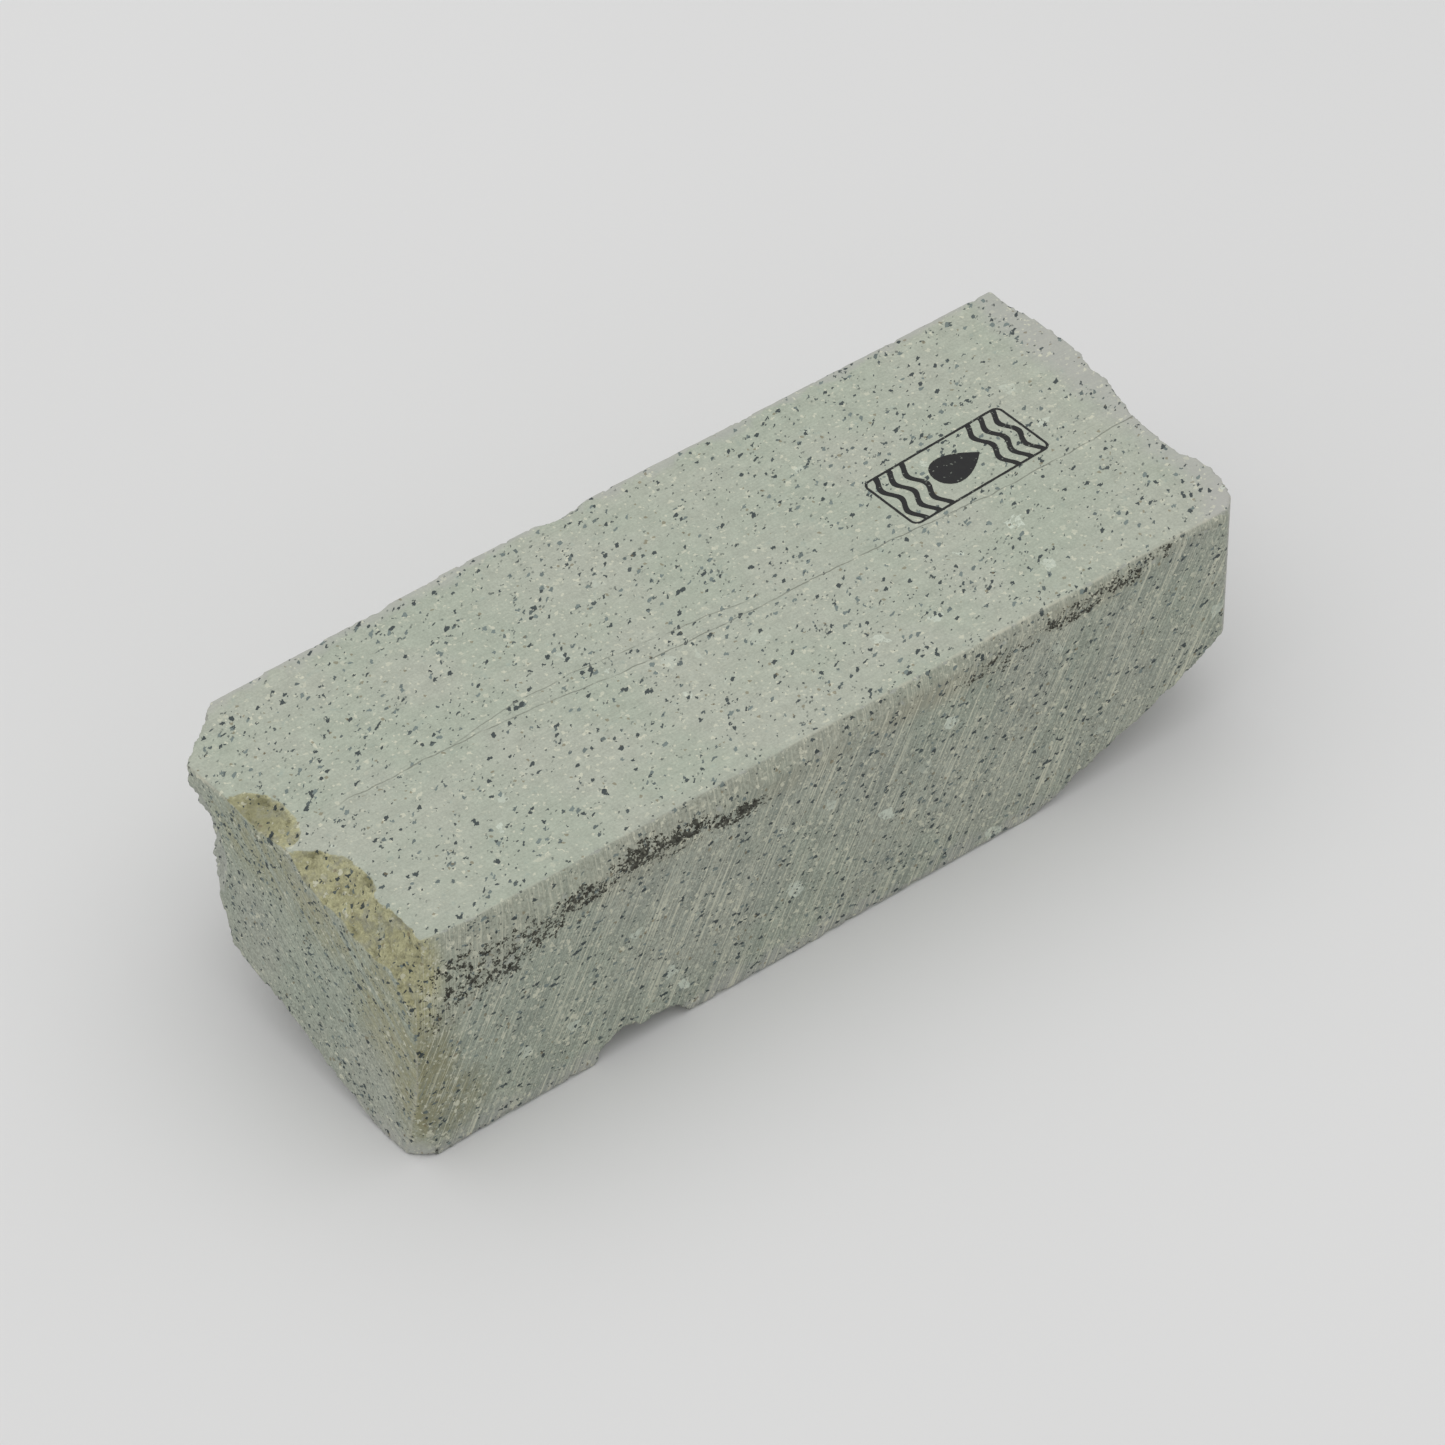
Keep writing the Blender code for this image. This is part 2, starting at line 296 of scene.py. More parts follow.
def make_ink(name, source, top):
    """Printed ink as a thin film on the top face, with the slightly uneven outline of a rubber stamp."""
    shape = bmesh.new()
    shape.from_mesh(source.data)
    bmesh.ops.remove_doubles(shape, verts=shape.verts, dist=0.001 * MM)
    for _ in range(INK_ROUNDS):
        long_edges = [edge for edge in shape.edges if edge.calc_length() > INK_EDGE]
        bmesh.ops.subdivide_edges(shape, edges=long_edges, cuts=1)
        bmesh.ops.triangulate(shape, faces=shape.faces[:])
    middle = sum(corner.co.z for corner in shape.verts) / len(shape.verts)
    for corner in shape.verts:
        place = Vector((corner.co.x, corner.co.y, 0.0)) / INK_WOBBLE_SIZE
        corner.co.x += INK_WOBBLE * noise.noise(place)
        corner.co.y += INK_WOBBLE * noise.noise(place + Vector((0, 0, 9.0)))
        corner.co.z = top + (INK_ABOVE if corner.co.z > middle else -INK_BELOW)
    mesh = bpy.data.meshes.new(name)
    shape.to_mesh(mesh)
    shape.free()
    return new_piece(name, mesh)


# ---------------------------------------------------------------- materials


class Graph:
    """Adds nodes to one material. A value is a number, a colour, a vector or another node's output."""

    def __init__(self, name):
        self.material = bpy.data.materials.new(name)
        self.material.use_nodes = True
        self.tree = self.material.node_tree
        self.shader = self.tree.nodes["Principled BSDF"]

    def give(self, socket, value):
        if isinstance(value, bpy.types.NodeSocket):
            self.tree.links.new(value, socket)
        else:
            socket.default_value = value

    def node(self, kind, inputs, **settings):
        new = self.tree.nodes.new("ShaderNode" + kind)
        for key, value in settings.items():
            setattr(new, key, value)
        for key, value in inputs.items():
            self.give(new.inputs[key], value)
        return new

    def math(self, operation, first, second=0.0):
        return self.node("Math", {0: first, 1: second}, operation=operation).outputs[0]

    def add(self, first, *others):
        for other in others:
            first = self.math("ADD", first, other)
        return first

    def times(self, first, *others):
        for other in others:
            first = self.math("MULTIPLY", first, other)
        return first

    def most(self, first, *others):
        for other in others:
            first = self.math("MAXIMUM", first, other)
        return first

    def minus(self, first, second):
        return self.math("SUBTRACT", first, second)

    def rest(self, value):
        return self.math("SUBTRACT", 1.0, value)

    def step(self, value, start, end, low=0.0, high=1.0):
        """A smooth change from low to high while the value goes from start to end."""
        inputs = {"Value": value, "From Min": start, "From Max": end, "To Min": low, "To Max": high}
        return self.node("MapRange", inputs, interpolation_type="SMOOTHSTEP").outputs[0]

    def vector(self, operation, first, second):
        new = self.node("VectorMath", {0: first, 1: second}, operation=operation)
        return new.outputs["Value" if operation in ("DOT_PRODUCT", "LENGTH", "DISTANCE") else "Vector"]

    def combine(self, x, y, z):
        return self.node("CombineXYZ", {"X": x, "Y": y, "Z": z}).outputs[0]

    def mix(self, share, first, second, blend="MIX"):
        new = self.tree.nodes.new("ShaderNodeMix")
        new.data_type = "RGBA"
        new.blend_type = blend
        for index, value in ((0, share), (6, first), (7, second)):
            self.give(new.inputs[index], value)
        return new.outputs[2]

    def noise(self, place, size, detail=2.0, roughness=0.5, output="Fac"):
        inputs = {"Vector": place, "Scale": 1.0 / size, "Detail": detail, "Roughness": roughness}
        return self.node("TexNoise", inputs).outputs[output]

    def voronoi(self, place, size, **settings):
        return self.node("TexVoronoi", {"Vector": place, "Scale": 1.0 / size}, **settings)

    def millimetres(self):
        """The place on the object, in millimetres."""
        metres = self.node("TexCoord", {}).outputs["Object"]
        return self.vector("MULTIPLY", metres, (MM_IN_METRE, MM_IN_METRE, MM_IN_METRE))

    def shifted(self, place, seed):
        return self.vector("ADD", place, (13.1 * seed, 7.7 * seed, 5.3 * seed))


def along(g, place, across, up, narrow, long):
    """The place squeezed so that a texture on it becomes streaks: across and up are unit vectors."""
    side = g.times(g.vector("DOT_PRODUCT", place, across), 1.0 / narrow)
    length = g.times(g.vector("DOT_PRODUCT", place, up), 1.0 / long)
    depth = g.times(g.vector("DOT_PRODUCT", place, tuple(Vector(across).cross(Vector(up)))), 1.0 / long)
    return g.combine(side, length, depth)


def ragged(g, place, size, amount, seed):
    """The place, moved by a seed of its own and warped by noise of this size."""
    moved = g.shifted(place, seed)
    warp = g.vector("SUBTRACT", g.noise(moved, size, 2.0, output="Color"), (0.5, 0.5, 0.5))
    return g.vector("ADD", moved, g.vector("MULTIPLY", warp, (amount, amount, amount)))


def shards(g, place, grain, share):
    """Angular grains, in this share of the cells of the stone: 1 inside a grain, and a draw for each."""
    size, amount, seed = grain
    cells = g.voronoi(ragged(g, place, 0.8 * size, amount, seed), size, feature="F1")
    draws = g.node("SeparateColor", {"Color": cells.outputs["Color"]})
    return g.math("LESS_THAN", draws.outputs[0], share), draws.outputs[2]


def sprinkle(g, colour, grains, weakest, strongest, tint):
    """Tints each grain by its own draw, between the weakest and the strongest share."""
    inside, draw = grains
    return g.mix(g.times(inside, g.step(draw, 0, 1, weakest, strongest)), colour, tint)


def blob(g, place, centre, size):
    """1 in the middle of an ellipsoid, fading to 0 at its surface."""
    away = g.vector("DIVIDE", g.vector("SUBTRACT", place, centre), size)
    return g.step(g.vector("LENGTH", away, (0, 0, 0)), 1.0, 0.35)


def blobs(g, place, rows):
    """The most of several ellipsoids, each (centre, size, strength)."""
    return g.most(*(g.times(blob(g, place, centre, size), strength) for centre, size, strength in rows))


def curve_through(g, x, points):
    """The value y(x) of a smooth curve through the points."""
    curve = g.node("FloatCurve", {"Value": g.add(g.times(x, 1.0 / CURVE_SPAN), 0.5)})
    line = curve.mapping.curves[0]
    places = [(u / CURVE_SPAN + 0.5, v / CURVE_HEIGHT + 0.5) for u, v in points]
    for place in places[1:-1]:
        line.points.new(*place)
    line.points[0].location = places[0]
    line.points[len(points) - 1].location = places[-1]
    curve.mapping.update()
    return g.times(g.minus(curve.outputs[0], 0.5), CURVE_HEIGHT)


def hairline(g, place, points, width, seed):
    """A fine crack that follows y(x) through the points, in millimetres, and thins out at its ends."""
    axes = g.node("SeparateXYZ", {"Vector": place})
    middle = curve_through(g, axes.outputs["X"], points)
    moved = g.shifted(place, seed)
    wander = g.times(g.minus(g.noise(moved, 5.0, 4.0), 0.5), 1.6)
    off = g.math("ABSOLUTE", g.minus(g.add(axes.outputs["Y"], wander), middle))
    broken_up = g.step(g.noise(moved, 3.5, 4.0), 0.30, 0.56, 0.15, 1.0)
    near = points[0][0]
    far = points[-1][0]
    ends = g.times(
        g.step(axes.outputs["X"], near, near + CRACK_FADES[0]),
        g.step(axes.outputs["X"], far, far - CRACK_FADES[1]),
    )
    return g.times(g.step(off, width, 0.25 * width), broken_up, ends)


# Stains and ochre, in millimetres: (centre, size, strength)
DARK_STAINS = (
    ((-50.0, -40.0, 48.8), (12.0, 8.0, 4.4), 1.0),
    ((-38.5, -40.0, 48.2), (8.0, 8.0, 3.6), 1.0),
    ((-26.0, -40.0, 46.0), (11.0, 8.0, 3.2), 1.0),
    ((-44.0, -40.0, 47.6), (30.0, 8.0, 6.5), 0.56),
    ((-64.0, -40.0, 46.6), (12.0, 8.0, 4.6), 0.86),
    ((-76.0, -40.5, 44.0), (14.0, 9.0, 6.6), 0.72),
    ((-90.0, -40.5, 42.0), (20.0, 9.0, 10.5), 0.70),
    ((-83.0, -41.0, 39.5), (12.0, 9.0, 4.4), 0.76),
    ((-99.0, -41.5, 37.0), (9.0, 6.0, 9.0), 0.50),
    ((38.0, -39.0, 47.8), (16.0, 8.0, 4.6), 0.62),
    ((57.0, -38.7, 49.8), (12.0, 8.0, 3.8), 0.76),
    ((69.0, -38.5, 51.0), (11.0, 8.0, 3.8), 0.74),
    ((79.5, -38.4, 52.4), (8.0, 8.0, 3.0), 0.64),
)
TAN_STAINS = (
    ((22.0, -38.6, 48.0), (26.0, 8.0, 6.0), 1.0),
    ((60.0, -38.2, 50.6), (24.0, 8.0, 4.5), 0.8),
    ((-12.0, -38.8, 47.5), (24.0, 8.0, 5.0), 0.6),
    ((-55.0, -39.4, 46.5), (34.0, 8.0, 7.0), 0.55),
)
OCHRE_CHIPS = (
    ((-103.0, 6.0, 53.5), (11.0, 16.0, 8.0), 1.0),
    ((-103.0, -17.0, 50.0), (15.0, 20.0, 13.0), 1.0),
    ((-104.0, -33.0, 45.0), (12.0, 14.0, 22.0), 1.0),
)
OCHRE_FACE = (
    ((-106.0, -34.0, 36.0), (9.0, 17.0, 24.0), 1.0),
    ((-106.0, -16.0, 44.0), (9.0, 22.0, 11.0), 0.85),
    ((-106.0, 6.0, 47.0), (9.0, 20.0, 11.0), 0.80),
    ((-104.0, -39.0, 24.0), (9.0, 8.0, 22.0), 1.0),
)
OLIVE_CORNER = (
    ((-101.0, -40.5, 22.0), (11.0, 9.0, 20.0), 1.0),
    ((-98.0, -40.5, 12.0), (15.0, 9.0, 12.0), 0.9),
    ((-103.0, 10.0, 52.0), (8.0, 9.0, 5.0), 0.7),
)

# The two hairline cracks on the top, in millimetres: (x, y) from the near end to the far end, and widths
LONG_CRACK = ((-94, 1.3), (-49, 0.2), (-20.7, -3), (39.3, -5), (62.7, -6.5), (104, -5.7))
SHORT_CRACK = ((-68, 0.2), (-40.3, 3.2), (-15, 1.3), (9, -1.8))
CRACK_WIDTHS = (0.23, 0.20)
# How far a crack fades at its near and far end, and the box round the origin that its curve is drawn in
CRACK_FADES = (12.0, 4.0)
CURVE_SPAN = 220.0
CURVE_HEIGHT = 40.0

# Colours of the tuff
GREEN_GREY = (0.398, 0.440, 0.360, 1.0)
WARM_GREY = (0.428, 0.452, 0.380, 1.0)
PURPLE_GREY = (0.432, 0.425, 0.412, 1.0)
TAN = (0.340, 0.333, 0.255, 1.0)
OLIVE = (0.225, 0.218, 0.118, 1.0)
END_BROWN = (0.275, 0.268, 0.165, 1.0)
OCHRE_BROWN = (0.265, 0.252, 0.140, 1.0)
OCHRE = (0.440, 0.428, 0.255, 1.0)
CREAM = (0.640, 0.640, 0.510, 1.0)
LUMP = (0.660, 0.720, 0.620, 1.0)
TEAL_HAZE = (0.250, 0.345, 0.320, 1.0)
BLUE_BLACK = (0.020, 0.034, 0.040, 1.0)
TEAL_GREY = (0.170, 0.215, 0.205, 1.0)
RUST = (0.190, 0.150, 0.080, 1.0)
STAIN = (0.020, 0.019, 0.012, 1.0)
CRACK = (0.190, 0.200, 0.165, 1.0)
# The saw groove colour is painted shade for the hollows of the saw marks
SAW_GROOVE_SHADE = (0.225, 0.255, 0.220, 1.0)
# The pale arris colour is partly wear and partly a painted highlight along the arrises
ARRIS_WEAR_AND_HIGHLIGHT = (0.560, 0.550, 0.440, 1.0)
STAIN_HAZE = (0.150, 0.140, 0.100, 1.0)

# Colours of the ink, of the stone where the ink missed it, and of the paper under the stone
INK_DENSE = (0.006, 0.006, 0.007, 1.0)
INK_THIN = (0.018, 0.019, 0.018, 1.0)
BARE_STONE = (0.260, 0.285, 0.240, 1.0)
PAPER_DARK = (0.735, 0.735, 0.733, 1.0)
PAPER_LIGHT = (0.760, 0.760, 0.758, 1.0)
# The size of the paper's soft patches, in millimetres, and its roughness
PAPER_PATCH = 350.0
PAPER_ROUGHNESS = 0.9

# The patches of the ochre: (size in millimetres, detail, roughness)
OCHRE_PATCHES = (1.5, 5.0, 0.68)

# The sizes of the other patterns in the rock, in millimetres
PATCH_SIZE = 26.0
MOTTLING_SIZE = 3.4
SAND_SIZE = 0.55
WANDER_SIZE = 7.0
CREAM_CLUSTER = 9.0
DARK_CLUSTER = 7.0
HAZE_SIZE = 2.6
STAIN_CLUMP = 1.9
# Where the margin along the far end lies, in millimetres along X
FAR_MARGIN = 103.0

# The shade of the rock: its light before any shade, how much the mottling and the sandy grain vary it
# (the grain on the top, and what the sides have beyond that), and the painted shade that makes some faces
# darker than the top
FULL_LIGHT = 0.99
MOTTLING = 0.46
TOP_SAND = 0.70
SIDE_SAND = 0.90
SIDE_PAINTED_SHADE = {"front": 0.15, "bevel": 0.13, "end": 0.12}

# The dark grains lie along a heading from +X, in degrees, and are longer that way by this factor
GRAIN_SLANT = 35
GRAIN_LENGTH = 1.7

# Grains, in millimetres: (the size of their cells, how far their outlines are warped, seed)
CREAM_GRAINS = (0.85, 1.3, 8)
CREAM_CRUMBS = (0.42, 0.5, 18)
PALE_LUMPS = (3.0, 2.2, 9)
DARK_GRAINS = (0.64, 0.75, 12)
DARK_CRUMBS = (0.34, 0.3, 19)
RUST_SPECKS = (0.6, 0.2, 13)
STAIN_SPECKS = (0.50, 0.6, 20)
INK_PINHOLES = (0.3, 0.1, 3)

# Each face's saw marks: the unit vectors across and along them, and how wide and how long they are
SAW_MARKS = {
    "front": {"across": (0.90, 0.0, -0.44), "up": (0.44, 0.0, 0.90), "narrow": 0.42, "long": 22.0},
    "end": {"across": (0.0, -0.66, 0.75), "up": (0.0, 0.75, 0.66), "narrow": 0.40, "long": 14.0},
    "bevel": {"across": (0.99, 0.0, -0.12), "up": (0.12, 0.0, 0.99), "narrow": 0.30, "long": 9.0},
    "back": {"across": (0.94, 0.0, 0.34), "up": (-0.34, 0.0, 0.94), "narrow": 0.45, "long": 15.0},
    "top": {"across": (0.0, 1.0, 0.0), "up": (1.0, 0.0, 0.0), "narrow": 0.35, "long": 60.0},
}
# The broader bunches that the front's pale marks come in
FRONT_BUNCHES = {**SAW_MARKS["front"], "narrow": 2.2, "long": 30.0}
# The ochre bands on the end face, which run along its saw marks
OCHRE_BANDS = {**SAW_MARKS["end"], "narrow": 2.2, "long": 30.0}
# How deep the saw marks are, in millimetres
MARK_DEPTHS = {"front": 0.34, "end": 0.24, "bevel": 0.18, "back": 0.18}
# The depths below a sawn face, in millimetres, where its skin ends and where it is whole
SKIN_DEPTHS = (0.42, 0.14)


class Tuff:
    """Places on the stone in millimetres, the depth below each sawn face, and which face a place is on."""

    def __init__(self, g, planes):
        self.g = g
        self.place = g.millimetres()
        self.x = g.vector("DOT_PRODUCT", self.place, (1.0, 0.0, 0.0))
        self.depth = {}
        for name, (normal, distance) in planes.items():
            toward = g.vector("DOT_PRODUCT", self.place, tuple(float(part) for part in normal))
            self.depth[name] = g.minus(MM_IN_METRE * distance, toward)
        self.on = {name: g.step(value, *SKIN_DEPTHS) for name, value in self.depth.items()}
        self.broken = g.rest(g.most(*self.on.values()))
        self.on["bevel"] = g.most(self.on["bevel"], self.on["near_bevel"])
        self.on["back"] = g.most(self.on["back"], self.on["near_back"])
        self.below_bevel = g.math("MINIMUM", self.depth["bevel"], self.depth["near_bevel"])
        self.wander = g.noise(g.shifted(self.place, 4), WANDER_SIZE, 4.0, 0.6)
        self.sand = g.noise(g.shifted(self.place, 3), SAND_SIZE, 3.0, 0.75)
        self.marks = {name: self.streaks(marks) for name, marks in SAW_MARKS.items()}

    def streaks(self, marks, seed=0):
        place = along(self.g, self.g.shifted(self.place, seed), **marks)
        return self.g.noise(place, 1.0, 3.0, 0.65)

    def marks_on(self, name, start, end, strength):
        """The marks of one face: 0 where their noise is at the start, and this strength at the end."""
        marks = self.g.step(self.marks[name], start, end)
        return self.g.times(marks, self.on[name], strength)


def body_colour(g, tuff):
    """Broad patches, mottling and a sandy grain, which is stronger on the sides than on the ground top, and
    painted shade that makes the front, the bevel and the end darker than the top.
    """
    patches = g.noise(tuff.place, PATCH_SIZE, 2.0)
    colour = g.mix(g.step(patches, 0.36, 0.64), GREEN_GREY, WARM_GREY)
    mottling = g.noise(g.shifted(tuff.place, 2), MOTTLING_SIZE, 4.0, 0.65)
    mottling = g.times(g.minus(mottling, 0.5), MOTTLING)
    gain = g.add(TOP_SAND, g.times(g.rest(tuff.on["top"]), SIDE_SAND))
    sand = g.times(g.minus(tuff.sand, 0.5), gain)
    # Painted shade: the front, the bevel and the end are made darker than the top
    painted_side_shade = g.most(*(g.times(tuff.on[name], share) for name, share in SIDE_PAINTED_SHADE.items()))
    shade = g.minus(g.add(FULL_LIGHT, mottling, sand), painted_side_shade)
    return g.mix(1.0, colour, shade, "MULTIPLY")


def margins(g, tuff, colour):
    """Purple-grey skin beside the breaks, along the back and round the foot."""
    reach = g.step(tuff.wander, 0.3, 0.7, 0.6, 5.5)
    to_back = g.math("MINIMUM", tuff.depth["back"], tuff.depth["near_back"])
    from_foot = g.times(g.step(tuff.depth["base"], g.times(reach, 2.0), 0.5), g.rest(tuff.on["base"]))
    to_far_end = g.minus(FAR_MARGIN, g.add(tuff.x, g.times(tuff.wander, 9.0)))
    margin = g.most(
        g.times(tuff.on["top"], g.step(to_back, reach, 0.4), 0.8),
        g.times(tuff.on["top"], g.step(tuff.depth["far_corner"], 9.0, 2.0)),
        g.times(tuff.on["top"], g.step(to_far_end, 5.0, -2.0), 0.8),
        g.times(from_foot, 0.8),
        g.times(tuff.on["far_corner"], 0.85),
        g.times(tuff.broken, 0.55),
    )
    return g.mix(g.times(margin, 0.72), colour, PURPLE_GREY)


def tan_skin(g, tuff, colour):
    """Tan staining along the bevel at the front."""
    crease = g.times(g.add(tuff.depth["front"], tuff.below_bevel), 2.6)
    tan = g.times(blobs(g, tuff.place, TAN_STAINS), g.step(tuff.wander, 0.25, 0.6, 0.5, 1.0))
    tan = g.times(tan, g.step(crease, 9.0, 2.0), g.most(tuff.on["bevel"], tuff.on["front"]))
    tan = g.most(tan, g.times(tuff.on["bevel"], 0.35))
    return g.mix(g.times(tan, 0.85), colour, TAN)


def ochre_skin(g, tuff, colour):
    """Ochre on the chips of the near end, and in bands on its sawn face."""
    bands = g.noise(along(g, tuff.place, **OCHRE_BANDS), 1.0, 3.0, 0.6)
    patchy = g.noise(g.shifted(tuff.place, 6), *OCHRE_PATCHES)
    wide = g.noise(g.shifted(tuff.place, 5), 5.0, 3.0, 0.6)
    chips = g.times(blobs(g, tuff.place, OCHRE_CHIPS), 2.2, g.step(tuff.depth["top"], 0.03, 0.22))
    chips = g.times(chips, g.most(tuff.broken, g.step(tuff.depth["end"], 0.4, 1.2)))
    face = g.times(blobs(g, tuff.place, OCHRE_FACE), g.step(bands, 0.34, 0.52), g.rest(tuff.on["top"]))
    face = g.times(face, g.step(patchy, 0.3, 0.6, 0.55, 1.0), 0.85)
    ochre = g.math("MINIMUM", g.most(chips, face), 1.0)
    ochre = g.times(ochre, g.step(g.add(patchy, wide), 0.78, 1.05, 0.60, 1.0))
    shade = g.mix(g.step(patchy, 0.34, 0.56), OCHRE_BROWN, OCHRE)
    shade = g.mix(g.times(tuff.on["end"], 0.62), shade, END_BROWN)
    shade = g.mix(1.0, shade, g.add(1.0, g.times(g.minus(tuff.sand, 0.5), 1.3)), "MULTIPLY")
    return g.mix(ochre, colour, shade)


def olive_corner(g, tuff, colour):
    """Olive round the near end's corner with the front, and a little of it on the back chip."""
    patchy = g.noise(g.shifted(tuff.place, 6), *OCHRE_PATCHES)
    corner = g.times(blobs(g, tuff.place, OLIVE_CORNER), g.step(patchy, 0.35, 0.60, 0.35, 0.90))
    corner = g.times(corner, g.rest(g.most(tuff.on["top"], g.times(tuff.on["end"], 0.75))))
    return g.mix(corner, colour, OLIVE)


def saw_marks(g, tuff, colour):
    """Thin pale streaks, steep on the front and slanting on the end, painted shade that darkens the low parts
    of the saw marks on the front, the end and the bevel, and faint lines along the top.
    """
    bunches = g.step(tuff.streaks(FRONT_BUNCHES, 21), 0.34, 0.60, 0.25, 1.0)
    pale = g.most(
        tuff.marks_on("front", 0.52, 0.63, bunches),
        tuff.marks_on("end", 0.54, 0.68, 0.42),
        tuff.marks_on("bevel", 0.52, 0.66, 0.6),
        tuff.marks_on("back", 0.52, 0.66, 0.8),
    )
    # Painted shade: darker where the relief of the saw marks is lowest
    painted_groove_shade = g.most(
        tuff.marks_on("front", 0.50, 0.36, 0.66),
        tuff.marks_on("end", 0.50, 0.36, 0.40),
        tuff.marks_on("bevel", 0.46, 0.32, 0.42),
    )
    colour = g.mix(g.times(pale, 0.78), colour, CREAM)
    colour = g.mix(painted_groove_shade, colour, SAW_GROOVE_SHADE)
    return g.mix(tuff.marks_on("top", 0.42, 0.62, 0.10), colour, CREAM)


def pale_grains(g, tuff, colour):
    """Cream grains, which are sparser on the breaks and the end, pale lumps and a teal haze."""
    place = tuff.place
    side = g.rest(tuff.on["top"])
    plainer = g.most(g.times(tuff.broken, 0.75), g.times(tuff.on["end"], 0.6))
    richness = g.times(g.add(1.0, g.times(side, 1.1)), g.rest(plainer))
    cream_share = g.step(g.noise(g.shifted(place, 7), CREAM_CLUSTER, 2.0), 0.35, 0.65, 0.012, 0.052)
    grains = shards(g, place, CREAM_GRAINS, g.times(cream_share, richness))
    colour = sprinkle(g, colour, grains, 0.20, 0.80, CREAM)
    crumbs = shards(g, place, CREAM_CRUMBS, g.times(0.032, richness))
    colour = sprinkle(g, colour, crumbs, 0.25, 0.75, CREAM)
    lump, draw = shards(g, place, PALE_LUMPS, 0.009)
    crumbled = g.step(g.noise(g.shifted(place, 22), 0.9, 4.0, 0.7), 0.38, 0.52)
    colour = sprinkle(g, colour, (g.times(lump, crumbled), draw), 0.25, 0.75, LUMP)
    haze = g.step(g.noise(g.shifted(place, 11), HAZE_SIZE, 4.0, 0.65), 0.60, 0.76)
    return g.mix(g.times(haze, 0.30), colour, TEAL_HAZE)


def dark_grains(g, tuff, colour):
    """Blue-black shards in loose clusters, drawn out along a slant, and a few rust specks."""
    place = tuff.place
    across = tuple(direction(GRAIN_SLANT + 90))
    slant = along(g, place, across, tuple(direction(GRAIN_SLANT)), 1.0, GRAIN_LENGTH)
    slant = g.vector("MULTIPLY", slant, (1.0, 1.0, GRAIN_LENGTH))
    cluster = g.noise(g.shifted(place, 10), DARK_CLUSTER, 3.0, 0.6)
    more_on_end = g.add(1.0, g.times(tuff.on["end"], 0.7))
    dark_share = g.times(g.step(cluster, 0.34, 0.68, 0.012, 0.068), more_on_end)
    dark, draw = shards(g, slant, DARK_GRAINS, dark_share)
    shade = g.mix(g.step(draw, 0.30, 1.0), BLUE_BLACK, TEAL_GREY)
    colour = g.mix(g.times(dark, 0.93), colour, shade)
    crumbs = shards(g, slant, DARK_CRUMBS, g.times(dark_share, 0.5))
    colour = sprinkle(g, colour, crumbs, 0.35, 0.9, BLUE_BLACK)
    rust, _ = shards(g, place, RUST_SPECKS, 0.006)
    return g.mix(g.times(rust, 0.6), colour, RUST), dark


def arris_wear_and_highlight(g, tuff, colour):
    """A cream line on the arrises of the near end and of the top's front, partly wear and partly a painted
    highlight.
    """
    # Partly wear and partly a painted highlight: a pale line on the near end beside its arrises
    corner = g.math("MINIMUM", tuff.depth["front"], tuff.depth["foot_corner"])
    near_edge = g.times(tuff.on["end"], g.step(g.math("MINIMUM", corner, tuff.depth["top"]), 0.9, 0.2))
    colour = g.mix(g.times(near_edge, g.step(tuff.wander, 0.3, 0.6, 0.2, 0.65)), colour, ARRIS_WEAR_AND_HIGHLIGHT)
    # Partly wear and partly a painted highlight: a pale line on the top along its front arris, stronger
    # towards +X
    arris = g.times(tuff.on["top"], g.step(tuff.below_bevel, 0.85, 0.1))
    arris = g.times(arris, g.step(tuff.x, -30.0, 40.0, 0.15, 0.75), g.step(tuff.wander, 0.35, 0.6))
    return g.mix(arris, colour, ARRIS_WEAR_AND_HIGHLIGHT)


def dark_stains(g, tuff, colour):
    """Black specks, crowded along the crease under the bevel, with a brown haze round them."""
    faces = g.most(tuff.on["front"], tuff.on["bevel"], tuff.on["end"], tuff.on["foot_corner"])
    clumps = g.noise(g.shifted(tuff.place, 14), STAIN_CLUMP, 4.0, 0.7)
    reach = g.times(blobs(g, tuff.place, DARK_STAINS), faces)
    share = g.step(g.add(reach, g.times(clumps, 2.2)), 1.50, 2.28, 0.0, 0.96)
    halo = g.times(reach, g.step(clumps, 0.4, 0.7), 0.22)
    colour = g.mix(halo, colour, STAIN_HAZE)
    return sprinkle(g, colour, shards(g, tuff.place, STAIN_SPECKS, share), 0.80, 1.0, STAIN)


def cracks_on_top(g, tuff):
    """The long crack and the fainter short one beside it: 1 in a crack and 0 elsewhere."""
    long_crack = hairline(g, tuff.place, LONG_CRACK, CRACK_WIDTHS[0], 15)
    short_crack = hairline(g, tuff.place, SHORT_CRACK, CRACK_WIDTHS[1], 16)
    return g.times(g.most(long_crack, g.times(short_crack, 0.8)), tuff.on["top"])


def relief(g, tuff, hollows):
    """Height in millimetres: saw marks and grain on the faces, and a coarser grain on the breaks."""
    coarse = g.noise(g.shifted(tuff.place, 17), 1.1, 3.0, 0.6)
    sand = g.times(g.minus(tuff.sand, 0.5), g.add(0.05, g.times(tuff.broken, 0.22)))
    marks = [g.times(tuff.marks[name], tuff.on[name], depth) for name, depth in MARK_DEPTHS.items()]
    return g.add(sand, g.times(coarse, tuff.broken, 0.26), *marks, g.times(hollows, -0.03))


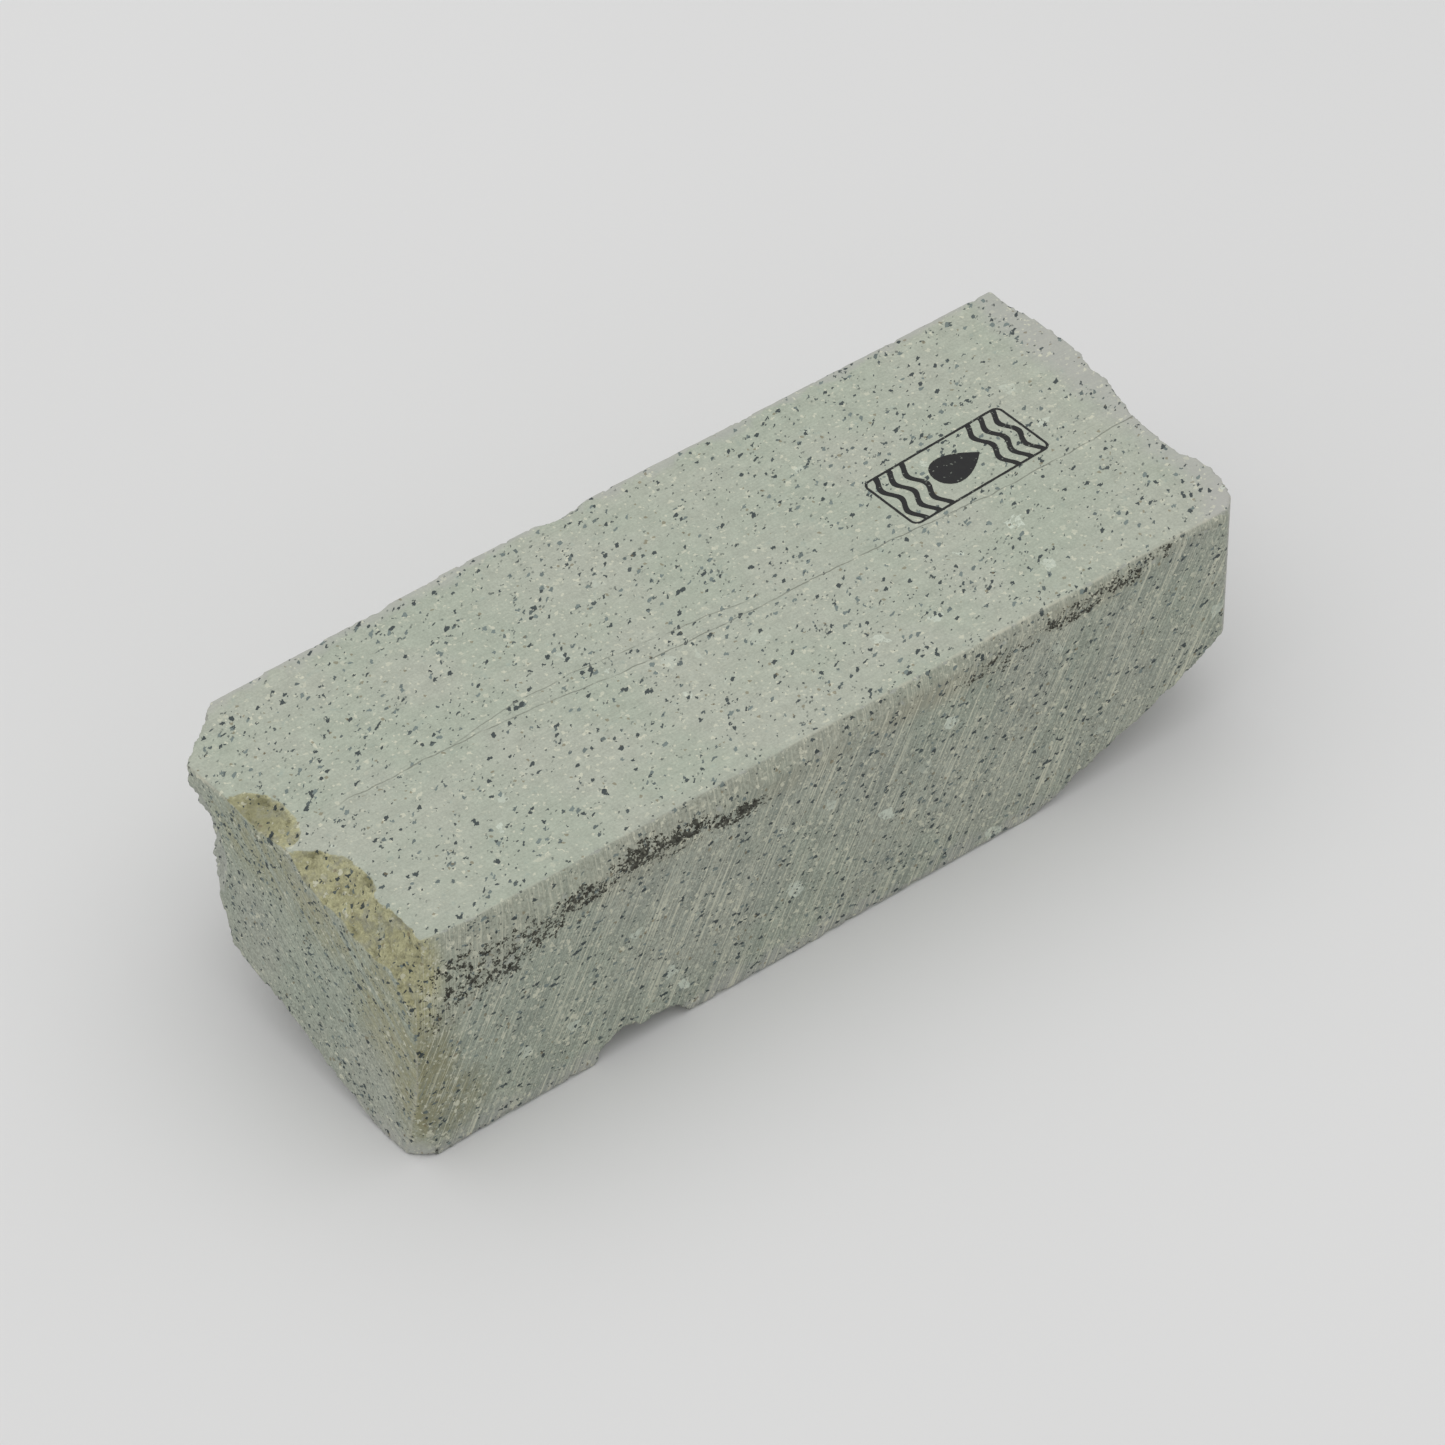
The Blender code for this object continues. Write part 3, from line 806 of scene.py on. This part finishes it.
def stone_material(planes):
    g = Graph("tuff")
    tuff = Tuff(g, planes)
    colour = body_colour(g, tuff)
    colour = margins(g, tuff, colour)
    colour = tan_skin(g, tuff, colour)
    colour = ochre_skin(g, tuff, colour)
    colour = olive_corner(g, tuff, colour)
    colour = saw_marks(g, tuff, colour)
    colour = pale_grains(g, tuff, colour)
    colour, dark = dark_grains(g, tuff, colour)
    colour = arris_wear_and_highlight(g, tuff, colour)
    colour = dark_stains(g, tuff, colour)
    cracks = cracks_on_top(g, tuff)
    colour = g.mix(g.times(cracks, 0.85), colour, CRACK)
    g.give(g.shader.inputs["Base Color"], colour)
    roughness = g.add(g.times(tuff.sand, 0.12), 0.82)
    g.give(g.shader.inputs["Roughness"], g.minus(roughness, g.times(dark, 0.18)))
    height = relief(g, tuff, g.most(dark, cracks))
    bump = g.node("Bump", {"Height": height, "Distance": MM, "Strength": 1.0})
    g.give(g.shader.inputs["Normal"], bump.outputs[0])
    return g.material


def ink_material():
    """Matt black stamping ink, with pinholes where it missed the grain."""
    g = Graph("black_ink")
    place = g.millimetres()
    density = g.noise(place, 2.6, 3.0, 0.6)
    colour = g.mix(g.step(density, 0.35, 0.7), INK_DENSE, INK_THIN)
    holes, _ = shards(g, place, INK_PINHOLES, g.step(density, 0.4, 0.75, 0.005, 0.06))
    colour = g.mix(g.times(holes, 0.6), colour, BARE_STONE)
    g.give(g.shader.inputs["Base Color"], colour)
    g.give(g.shader.inputs["Roughness"], g.step(density, 0.3, 0.7, 0.70, 0.85))
    bump = g.node("Bump", {"Height": g.noise(place, 0.35, 2.0), "Distance": 0.02 * MM, "Strength": 0.6})
    g.give(g.shader.inputs["Normal"], bump.outputs[0])
    return g.material


def paper_material():
    g = Graph("white_paper")
    tone = g.noise(g.millimetres(), PAPER_PATCH, 2.0)
    colour = g.mix(g.step(tone, 0.3, 0.7), PAPER_DARK, PAPER_LIGHT)
    g.give(g.shader.inputs["Base Color"], colour)
    g.shader.inputs["Roughness"].default_value = PAPER_ROUGHNESS
    return g.material


# ---------------------------------------------------------------- studio


def make_floor():
    mesh = bpy.data.meshes.new("studio_floor")
    signs = ((-1, -1), (1, -1), (1, 1), (-1, 1))
    corners = [(x * FLOOR_REACH, y * FLOOR_REACH, 0.0) for x, y in signs]
    mesh.from_pydata(corners, [], [(0, 1, 2, 3)])
    floor = new_piece("studio_floor", mesh)
    floor.data.materials.append(paper_material())


def make_light(name, place, size, power):
    lamp = bpy.data.lights.new(name, "AREA")
    lamp.shape = "SQUARE"
    lamp.size = size
    lamp.energy = power
    light = bpy.data.objects.new(name, lamp)
    light.location = place
    light.rotation_euler = (Vector(LIT_POINT) - Vector(place)).to_track_quat("-Z", "Y").to_euler()
    bpy.context.scene.collection.objects.link(light)


def make_world():
    world = bpy.data.worlds.new("studio")
    world.use_nodes = True
    background = world.node_tree.nodes["Background"]
    background.inputs["Color"].default_value = (1.0, 1.0, 1.0, 1.0)
    background.inputs["Strength"].default_value = WORLD_STRENGTH
    bpy.context.scene.world = world


def make_camera():
    lens = bpy.data.cameras.new("photo_camera")
    lens.lens = CAMERA_LENS
    lens.sensor_width = CAMERA_SENSOR
    lens.clip_start = 0.05
    lens.clip_end = 100.0
    camera = bpy.data.objects.new("photo_camera", lens)
    back = direction(CAMERA_AZIMUTH - 90, CAMERA_ELEVATION)
    camera.location = Vector(CAMERA_TARGET) + CAMERA_DISTANCE * back
    camera.rotation_euler = (-back).to_track_quat("-Z", "Y").to_euler()
    bpy.context.scene.collection.objects.link(camera)
    bpy.context.scene.camera = camera


def make_studio():
    make_floor()
    make_world()
    for softbox in SOFTBOXES:
        make_light(*softbox)
    bpy.context.scene.view_settings.view_transform = "Standard"
    make_camera()


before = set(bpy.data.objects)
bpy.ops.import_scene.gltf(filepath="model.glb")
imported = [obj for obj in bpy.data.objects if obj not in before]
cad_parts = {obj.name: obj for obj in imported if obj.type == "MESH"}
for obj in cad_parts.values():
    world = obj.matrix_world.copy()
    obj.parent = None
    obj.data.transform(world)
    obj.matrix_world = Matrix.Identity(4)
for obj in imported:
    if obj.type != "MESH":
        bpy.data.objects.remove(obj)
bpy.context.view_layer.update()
cad_stone = bpy.data.objects["stone_block"]
planes = sawn_planes(cad_stone.data)

stone = make_stone(cad_stone, planes)
stone.data.materials.clear()
stone.data.materials.append(stone_material(planes))
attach(stone, "root")
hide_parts("stone_block")

ink_finish = ink_material()
for node, name in (("ink_stamp", "stamp_print"), ("ink_drop", "drop_print")):
    ink = make_ink(name, bpy.data.objects[node], planes["top"][1])
    ink.data.materials.append(ink_finish)
    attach(ink, "root")
    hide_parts(node)

make_studio()
